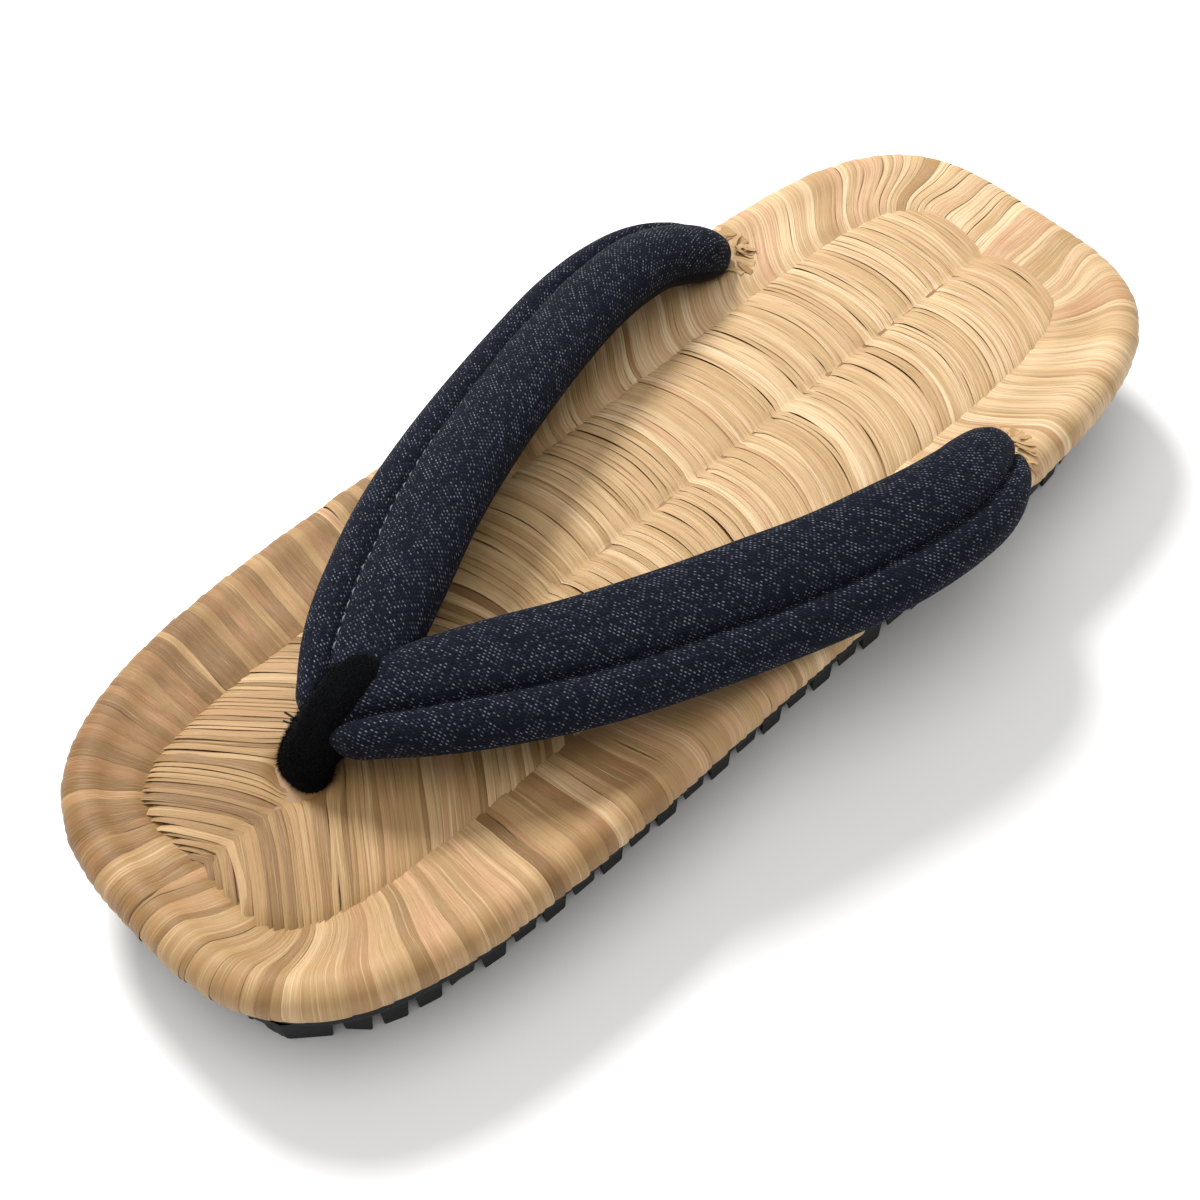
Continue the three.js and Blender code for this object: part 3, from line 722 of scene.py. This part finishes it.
while s0 < 1.0:
    core, nn = circ(CORE, s0), circ(CORE_N, s0)
    y = float(core[1])
    width = float(rng.choice([1.6, 2.2, 2.9, 3.9, 5.2], p=[0.2, 0.3, 0.28, 0.15, 0.07])) * rng.uniform(0.9, 1.12)
    width *= 0.85 + 0.35 * abs(float(nn[1]))
    ds = width / outer_len
    if s0 + ds > 1.0 - 0.6 * 2.0 / outer_len:
        ds = 1.0 - s0
    mid = s0 + ds / 2
    way = 1.0 if mid < 0.5 else -1.0
    wob = rng.normal(0, 0.16, 3)
    wave = (wob[0] * np.sin(w_at / 9 + rng.uniform(0, 6)) + wob[1] * np.sin(w_at / 4 + rng.uniform(0, 6))) / outer_len * 0.8
    fill = 1.07 + abs(rng.normal(0, 0.05)) if rng.random() < 0.9 else 0.98
    swirl = math.exp(-((mid - 0.054) / 0.055) ** 2)
    fill += (max(fill, 1.04) - fill + 0.05) * swirl
    sv = mid + V[None] * ds / 2 * fill
    s_grid = sv + slant_at(sv) * BAND * 0.9 * smooth(0, BAND * 1.15, w_at)[:, None] / outer_len + wave[:, None]
    pt, no = rim_surface(s_grid, w_at[:, None] + 0 * s_grid)
    go = np.gradient((pt[:, 0] + pt[:, -1]) / 2, axis=0)
    go /= np.linalg.norm(go, axis=1)[:, None]
    half_wide = np.linalg.norm(np.cross(pt[:, -1] - pt[:, 0], go), axis=1) / 2
    tilt = (0.06 + 0.05 * rng.random()) * (1 if 0 < mid < 0.5 else -1) * (1 - 0.65 * swirl)
    # strength of the painted contact shadow along this strip's low edge
    edge_shadow = float(rng.choice([0.12, 0.45, 0.8, 1.0], p=[0.28, 0.34, 0.22, 0.16]))
    edge_shadow *= (1 - 0.45 * float(smooth(0, 90, y))) * (1 - 0.75 * math.exp(-((mid - 0.054) / 0.055) ** 2))
    rise = -0.30 + CROWN[None] * min(1.0, width / 3.2) + tilt * V[None] * (1 + 1.5 * smooth(BAND + 0.35 * ARC, BAND + 0.65 * ARC, w_at))[:, None] + rng.normal(0, 0.05)
    rise = rise + 0.05 * np.sin(w_at / 6 + rng.uniform(0, 6))[:, None]
    rise = rise - 0.50 * np.exp(-(w_at + 1.3) / rng.uniform(0.5, 1.1))[:, None]
    p = pt + no * rise[..., None]
    tone = np.clip(tone_of(y, float(core[0])) + rng.normal(0, 0.165), 0, 1)
    warm = float(rng.random() < 0.26 + 0.14 * smooth(20, -100, y)) * rng.uniform(0.35, 1.0)
    bed.grid(p, flip=False, fa=np.broadcast_to(w_at[:, None], s_grid.shape) + rng.uniform(0, 400),
             fx=np.broadcast_to(V[None] * width / 2, s_grid.shape), across=np.broadcast_to(-V[None] * way, s_grid.shape),
             tone=float(tone), warm=warm, deep=0.0, line=edge_shadow, hw=np.broadcast_to(half_wide[:, None], s_grid.shape))
    s0 += ds
    count += 1


# panel strips
def inside_half(y):
    """half width of the plait inside its edge line"""
    t = np.abs((np.asarray(y) + 1.0) / 113.0)
    return (28.6 + 1.0 * (np.asarray(y) / 113.0) ** 2) * np.clip(1 - t ** 5.5, 0, 1) ** (1 / 5.5)


def fall(x, y):
    """how far a strip lies towards the toe at x from the kink: near the toe it falls away on both sides, further back it arches"""
    u = np.abs(x)
    t = smooth(-66, -8, y)
    n0, n1 = -0.55 + 0.88 * t, -0.78 + 0.06 * t
    f0, f1 = -0.62 + 0.88 * t, -0.92 + 0.52 * t
    near = n0 * u + (n1 - n0) * u ** 2 / 57.0
    far = f0 * u + (f1 - f0) * u ** 2 / 57.0
    return -np.where(x > 0, near, far)


xs_full = np.linspace(-30.5, 30.5, 367)
y0 = -122.0
strips = 0
while y0 < 160:
    pitch = float(rng.choice([1.1, 1.45, 1.9, 2.6], p=[0.28, 0.36, 0.26, 0.10])) * rng.uniform(0.92, 1.1)
    yc = y0 + pitch / 2
    wob = rng.normal(0, 0.18, 4)
    fill = 1.15 + abs(rng.normal(0, 0.08)) if rng.random() < 0.93 - 0.12 * float(smooth(-60, -100, yc)) else 0.93
    # strength of the painted contact shadow along this strip's low edge, less towards the heel
    edge_shadow = float(rng.choice([0.15, 0.5, 0.85, 1.0], p=[0.26, 0.34, 0.24, 0.16])) * (1 - 0.74 * float(smooth(-70, 60, yc)))
    ph = rng.uniform(0, 6.28, 4)
    tone = np.clip(tone_of(yc, 0) + 0.02 + rng.normal(0, 0.14), 0, 1)
    warm = float(rng.random() < 0.14) * rng.uniform(0.3, 1.0) * (abs(yc - HOLE_Y) > 6)
    y_line = yc - fall(xs_full - KINK_X, yc) + wob[0] * np.sin(xs_full / 7 + ph[0]) + wob[1] * np.sin(xs_full / 3.3 + ph[1]) * 0.6 + wob[2] * 0.7 * np.exp(-((xs_full - KINK_X) / 2.0) ** 2)
    ok = np.abs(xs_full) < inside_half(y_line / 1.008) + 0.9
    ok &= (y_line > -115.2) & (y_line < 113.2)
    runs = np.split(np.arange(len(xs_full)), np.where(np.diff(ok.astype(int)) != 0)[0] + 1)
    for r in runs:
        if not ok[r[0]] or len(r) < 14:
            continue
        xa, xb = xs_full[r[0]], xs_full[r[-1]]
        n = max(6, int((xb - xa) / 1.35))
        x = np.linspace(xa, xb, n)
        if xa < KINK_X < xb:
            x[np.argmin(np.abs(x - KINK_X))] = KINK_X
        base = np.interp(x, xs_full, y_line)
        grade = np.gradient(base, x)
        grow = fall(x - KINK_X, yc - pitch / 2) - fall(x - KINK_X, yc + pitch / 2) + pitch
        kink = np.exp(-((x - KINK_X) / 1.3) ** 2)
        arc_w = grow / 2 * fill * (1 + 0.05 * np.sin(x / 5 + ph[2])) * (1 + 0.30 * kink)
        yy = base[:, None] + V[None] * arc_w[:, None]
        xx = x[:, None] + 0 * yy
        z = core_z(yy) + bed_height(xx, yy)
        edge_dip = np.exp(-np.minimum(x - xa, xb - x) / 1.1)
        tilt = (0.07 + 0.08 * rng.random()) * (1 - 0.45 * float(smooth(-60, 60, yc)))
        rise = -0.28 + CROWN[None] * min(1.0, pitch / 2.4) - tilt * V[None] * (1 - 0.5 * kink[:, None]) + rng.normal(0, 0.05)
        rise = rise + 0.05 * np.sin(x / 3 + ph[3])[:, None] - 0.75 * edge_dip[:, None] + 0.16 * kink[:, None] * np.sin(ph[0])
        length = np.concatenate([[0], np.cumsum(np.hypot(np.diff(x), np.diff(base)))])
        perp = 1 / np.sqrt(1 + grade ** 2)
        # deep here is a painted shadow ring round the toe loop's hole
        bed.grid(np.stack([xx, yy, z + rise], -1), flip=True,
                 fa=np.broadcast_to(length[:, None], yy.shape) + float(rng.uniform(0, 400)),
                 fx=V[None] * arc_w[:, None] * perp[:, None], across=np.broadcast_to(V[None], yy.shape),
                 tone=float(tone), warm=warm, deep=0.75 * np.exp(-((xx - HOLE_X) ** 2 + (yy - HOLE_Y) ** 2) / 10.0), line=edge_shadow,
                 hw=np.broadcast_to((arc_w * perp)[:, None], yy.shape))
        strips += 1
    y0 += pitch
strip_verts = bed.n

# the bed under the strips, painted dark (deep) as the shade seen in their gaps
s_at = np.linspace(0, 1, 288, endpoint=False)
under = []
for w_ in np.concatenate([[0, 5, 10, 14], BAND + np.linspace(0, ARC, 15)]):
    pt, no = rim_surface(s_at, np.full_like(s_at, w_))
    under.append(pt - no * 0.82)
inner_rings = []
for f_ in (0.0, 0.3, 0.6, 0.9):
    r = under[0].copy()
    r[:, 0] *= f_
    r[:, 1] *= (0.55 + 0.45 * f_)
    r[:, 2] = core_z(r[:, 1]) + BED_TOP - 1.25
    inner_rings.append(r)
bottom = []
for f_ in (0.9, 0.5, 0.0):
    r = under[-1].copy()
    r[:, 0] *= f_
    r[:, 1] *= (0.55 + 0.45 * f_)
    r[:, 2] = core_z(r[:, 1]) + BED_UNDER + 0.3
    bottom.append(r)
whole = np.stack(inner_rings + under + bottom)
bed.grid(whole, wrap=True, fa=0.0, fx=0.0, across=0.0, tone=0.3, warm=0.0, deep=1.0, line=0.0, hw=1.0)

# ---- strips part round the toe loop and the strap's ends ------------------------------------------
strap_tree = BVHTree.FromObject(strap, bpy.context.evaluated_depsgraph_get())


def make_room(v):
    """moves the strips aside: round the hole for the toe loop, and clear of the strap where it sinks into the rim"""
    v = v.copy()
    n = strip_verts
    top = v[:n]
    hx, hy = top[:, 0] - HOLE_X, top[:, 1] - (HOLE_Y - 0.2)
    r = np.hypot(hx, hy)
    hole = 5.0
    reach = 17.0
    new = np.where(r < reach, np.sqrt(hole ** 2 + (r ** 2) * (1 - (hole / reach) ** 2)), r)
    k = np.where(r > 1e-6, new / np.maximum(r, 1e-6), 1.0)
    level = core_z(top[:, 1]) + 1.0
    use = top[:, 2] > level
    top[:, 0] = np.where(use, hx * k + HOLE_X, top[:, 0])
    top[:, 1] = np.where(use, hy * k + HOLE_Y - 0.2, top[:, 1])
    dip = np.where(use & (r < reach), 0.9 * np.exp(-((new - hole) / 1.6) ** 2), 0)
    top[:, 2] -= dip
    near = np.where((top[:, 1] > 30) & (top[:, 1] < 80) & (np.abs(top[:, 0]) > 28))[0]
    for i in near:
        q = Vector(top[i] * MM)
        loc, nor, _, dist = strap_tree.find_nearest(q, 0.008)
        if loc is None:
            continue
        gap = (q - loc).dot(nor)
        if gap < 0.0004:
            push = loc + nor * 0.0004
            top[i] = np.array(push) / MM
    v[:n] = top
    return v


bed_ob = bed.build("footbed_woven", (STRAW,), move=make_room)
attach(bed_ob, "root")
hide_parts("footbed")

# a few cut strip ends stand up round the places where the strap sinks into the rim
bpy.context.view_layer.update()
bed_tree = BVHTree.FromObject(bed_ob, bpy.context.evaluated_depsgraph_get())
ends = Pile()
for mirror in (1, -1):
    for i in range(17):
        a = math.radians(22 + 9.4 * i + rng.uniform(-4, 4))
        way = np.array([math.cos(a) * mirror, math.sin(a)])
        centre_xy = np.array([41.3 * mirror, 66.4])
        r0, length = rng.uniform(6.8, 9.2), rng.uniform(3.2, 5.0)
        turn = rng.normal(0, 0.35)
        side = np.array([-way[1], way[0]])
        t = np.linspace(0, 1, 6)[:, None]
        xy = centre_xy + way * (r0 - length * t) + side * (turn * length * t ** 2)
        up = []
        for q in xy:
            hit = bed_tree.ray_cast(Vector((q[0] * MM, q[1] * MM, 0.08)), Vector((0, 0, -1)))[0]
            up.append(hit.z / MM if hit is not None else float(core_z(q[1])) + 2.0)
        z = np.maximum(np.array(up), up[0] - 0.6)[:, None] + 0.12 + rng.uniform(0.5, 1.7) * t ** 1.6
        wide = rng.uniform(0.55, 1.0) * np.sqrt(np.clip(1 - t ** 3, 0.02, 1))
        mid_line = np.concatenate([xy, z], 1)
        across = np.array([side[0], side[1], rng.uniform(-0.3, 0.3)])
        p = mid_line[:, None] + np.array([-1.0, 0.0, 1.0])[None, :, None] * wide[:, None] * across + np.array([0, 0.12, 0])[None, :, None] * np.array([0, 0, 1.0])
        ends.grid(p, fa=length * t * np.ones((1, 3)), fx=np.array([-1.0, 0.0, 1.0])[None] * wide, across=np.zeros((6, 3)),
                  tone=float(np.clip(0.45 + rng.normal(0, 0.16), 0, 1)), warm=float(rng.random() < 0.3), deep=0.0, line=0.0, hw=1.0)
ends_ob = ends.build("strip_ends", (STRAW,))
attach(ends_ob, "root")


# ---- midsole ----------------------------------------------------------------------------------
def ring_at(out, z_of, count=360):
    s = np.arange(count) / count
    core, nn = circ(CORE, s), circ(CORE_N, s)
    nn = nn / np.linalg.norm(nn, axis=1)[:, None]
    xy = core + nn * np.broadcast_to(mixed(out, nn), (count,))[:, None]
    return np.concatenate([xy, z_of(xy[:, 1])[:, None]], 1)


def closed_body(pile, rings, **kw):
    """rings from bottom to top, closed with flat inner rings"""
    def shrink(r):
        out = []
        for f_ in (0.85, 0.45, 0.0):
            q = r.copy()
            q[:, 0] *= f_
            q[:, 1] *= 0.55 + 0.45 * f_
            q[:, 2] = np.interp(q[:, 1], np.sort(r[:, 1]), r[np.argsort(r[:, 1]), 2])
            out.append(q)
        return out
    low, high = shrink(rings[0]), shrink(rings[-1])
    pile.grid(np.stack(low[::-1] + rings + high), wrap=True, **kw)


foam = Pile()
FOAM = hermite([(0.0, -2.3), (0.03, -1.7), (0.10, -1.2), (0.35, -0.9), (0.7, -0.75), (0.93, -0.85), (0.98, -1.1), (1.0, -1.5)], 16)


def foam_z(rise):
    def z(y):
        low = floor_z(y) + LUG + RUBBER + GAP * 0.2
        high = core_z(y) + BED_UNDER - GAP * 0.2
        return low + (high - low) * rise
    return z


closed_body(foam, [ring_at((o, o, o + 1.8 * min(1.0, r / 0.2)), foam_z(r)) for r, o in FOAM])
foam_ob = foam.build("midsole_foam", (FOAM_MAT,))
foam_ob.data.set_sharp_from_angle(angle=math.radians(50))
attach(foam_ob, "root")
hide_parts("midsole")

# ---- outsole ----------------------------------------------------------------------------------
LUG_PITCH, LUG_WAVE, LUG_SWING = 7.8, 25.0, 2.4


def half_at(y, out):
    """half width at y of the outline moved out by out"""
    c = CORE + CORE_N * np.asarray(mixed(out, CORE_N)).reshape(-1, 1)
    c = c[:COUNT // 2]
    order = np.argsort(c[:, 1])
    return np.interp(y, c[order, 1], np.abs(c[order, 0]))


def zig(x):
    u = (x / LUG_WAVE + 0.25) % 1.0
    return LUG_SWING * np.where(u < 0.5, 4 * u - 1, 3 - 4 * u)


def recess(x, odd):
    """how far the face of a row lies above the floor: a stepped pit at every other bend, fine ribs between"""
    d = (x + 6.25 - 12.5 * odd + 12.5) % 25.0 - 12.5
    pit = 2.7 * (1 - smooth(3.3, 4.1, np.abs(d))) - 1.1 * (1 - smooth(1.3, 1.9, np.abs(d + 0.6)))
    ramp = 1.0 * (1 - smooth(3.6, 6.4, d)) * (d > 3.4)
    rib = 0.34 * smooth(0.15, 0.30, np.abs((x / 1.3) % 1.0 - 0.5)) * (np.abs(d) > 5.4)
    return np.maximum(pit, 0) + np.where(d > 3.4, ramp * (pit <= 0.2), 0) + rib


tread = Pile()
WEB = (-3.6, -2.8, -3.4)
closed_body(tread, [ring_at(WEB, lambda y: floor_z(y) + LUG), ring_at(WEB, lambda y: floor_z(y) + LUG + RUBBER)])
FENCE = (-3.0, -2.3, -2.9)
PROFILE = np.array([(-3.0, LUG + 0.6, 0), (-2.62, 0.5, 0.85), (-2.3, 0.0, 1), (2.3, 0.0, 1), (2.62, 0.5, 0.85), (3.0, LUG + 0.6, 0)])
for i in range(31):
    y_row = (i - 15) * LUG_PITCH
    reach = float(half_at(y_row, FENCE))
    t = np.linspace(-1, 1, int(2 * reach / 0.43))[:, None]
    off = PROFILE[:, 0][None]
    limit = half_at(y_row + off + zig(t * reach), FENCE)
    x = t * limit
    y = y_row + zig(x) + off
    z = floor_z(y) + PROFILE[:, 1][None] + PROFILE[:, 2][None] * recess(x, i % 2)
    idx = tread.grid(np.stack([x, y, z], -1), flip=True)
    for row, way in ((0, 1), (-1, -1)):
        ring = idx[row][::way]
        tread.tris.append(np.array([[ring[0], ring[j], ring[j + 1]] for j in range(1, len(ring) - 1)]))
        tread.tm.append(np.zeros(len(ring) - 2, int))
    if i < 30:
        y_mid = y_row + LUG_PITCH / 2
        reach = float(half_at(y_mid, WEB)) - 0.4
        t = np.linspace(-1, 1, 101)[:, None] * reach
        off = np.array([-0.45, -0.28, 0.28, 0.45])[None]
        up = np.array([LUG + 0.3, LUG - 1.9, LUG - 1.9, LUG + 0.3])[None]
        y = y_mid + zig(t) + off
        tread.grid(np.stack([t + 0 * y, y, floor_z(y) + up], -1), flip=True)
tread_ob = tread.build("outsole_tread", (RUBBER_MAT,))
tread_ob.data.set_sharp_from_angle(angle=math.radians(32))
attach(tread_ob, "root")
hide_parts("outsole")

# ---- floor, light and camera ------------------------------------------------------------------
floor_mat = Nodes("studio_floor")
grain = floor_mat.noise(floor_mat.coords(), 40.0, 2.0, 0.5)
floor_mat.set(Base_Color=floor_mat.mix(grain, (0.86, 0.86, 0.855), (0.88, 0.88, 0.875)), Roughness=0.9)
bpy.ops.mesh.primitive_plane_add(size=8.0, location=(0, 0, 0))
floor = bpy.context.object
floor.name = "studio_floor"
floor.data.materials.append(floor_mat.mat)

scene = bpy.context.scene
world = bpy.data.worlds.new("studio")
world.use_nodes = True
world.node_tree.nodes["Background"].inputs[0].default_value = (1.0, 1.0, 1.0, 1)
world.node_tree.nodes["Background"].inputs[1].default_value = 0.56
scene.world = world


def area(name, at, aim, size, power, colour=(1, 1, 1)):
    light = bpy.data.lights.new(name, "AREA")
    light.shape = "DISK"
    light.size = size
    light.energy = power
    light.color = colour
    ob = bpy.data.objects.new(name, light)
    ob.location = at
    ob.rotation_euler = (Vector(aim) - Vector(at)).to_track_quat("-Z", "Y").to_euler()
    scene.collection.objects.link(ob)
    return ob


area("key", (-0.98, 0.22, 1.20), (0, 0, 0.03), 0.46, 27.0, (1.0, 0.985, 0.96))
area("top", (0.1, -0.3, 1.6), (0, 0, 0.03), 1.4, 10.0)

AZ, EL, DIST = math.radians(56.9487), math.radians(51.1095), 446.294
back = np.array([math.sin(AZ) * math.cos(EL), -math.cos(AZ) * math.cos(EL), math.sin(EL)])
eye = np.array([-42.857, -44.466, RIM_MID]) + back * DIST
pts = np.concatenate([ring_at(5.0, lambda y: core_z(y)), ring_at(-2.6, lambda y: floor_z(y)),
                      arms[1][0][::6].reshape(-1, 3), arms[-1][0][::6].reshape(-1, 3)])
aim = pts.mean(0)
for _ in range(6):
    fwd = aim - eye
    fwd /= np.linalg.norm(fwd)
    right = np.cross(fwd, [0, 0, 1])
    right /= np.linalg.norm(right)
    upv = np.cross(right, fwd)
    rel = pts - eye
    dz = rel @ fwd
    px, py = rel @ right / dz, rel @ upv / dz
    mx, my = (px.max() + px.min()) / 2, (py.max() + py.min()) / 2
    aim = eye + fwd * 450 + right * mx * 450 + upv * my * 450
spread = max(px.max() - px.min(), py.max() - py.min())
cam_data = bpy.data.cameras.new("camera")
cam_data.sensor_width = 36.0
cam_data.lens = 36.0 * 0.90 / spread
cam_data.clip_start = 0.01
cam = bpy.data.objects.new("camera", cam_data)
cam.location = Vector(eye * MM)
cam.rotation_euler = Vector(fwd).to_track_quat("-Z", "Y").to_euler()
scene.collection.objects.link(cam)
scene.camera = cam
scene.view_settings.view_transform = "Standard"
scene.view_settings.look = "None"

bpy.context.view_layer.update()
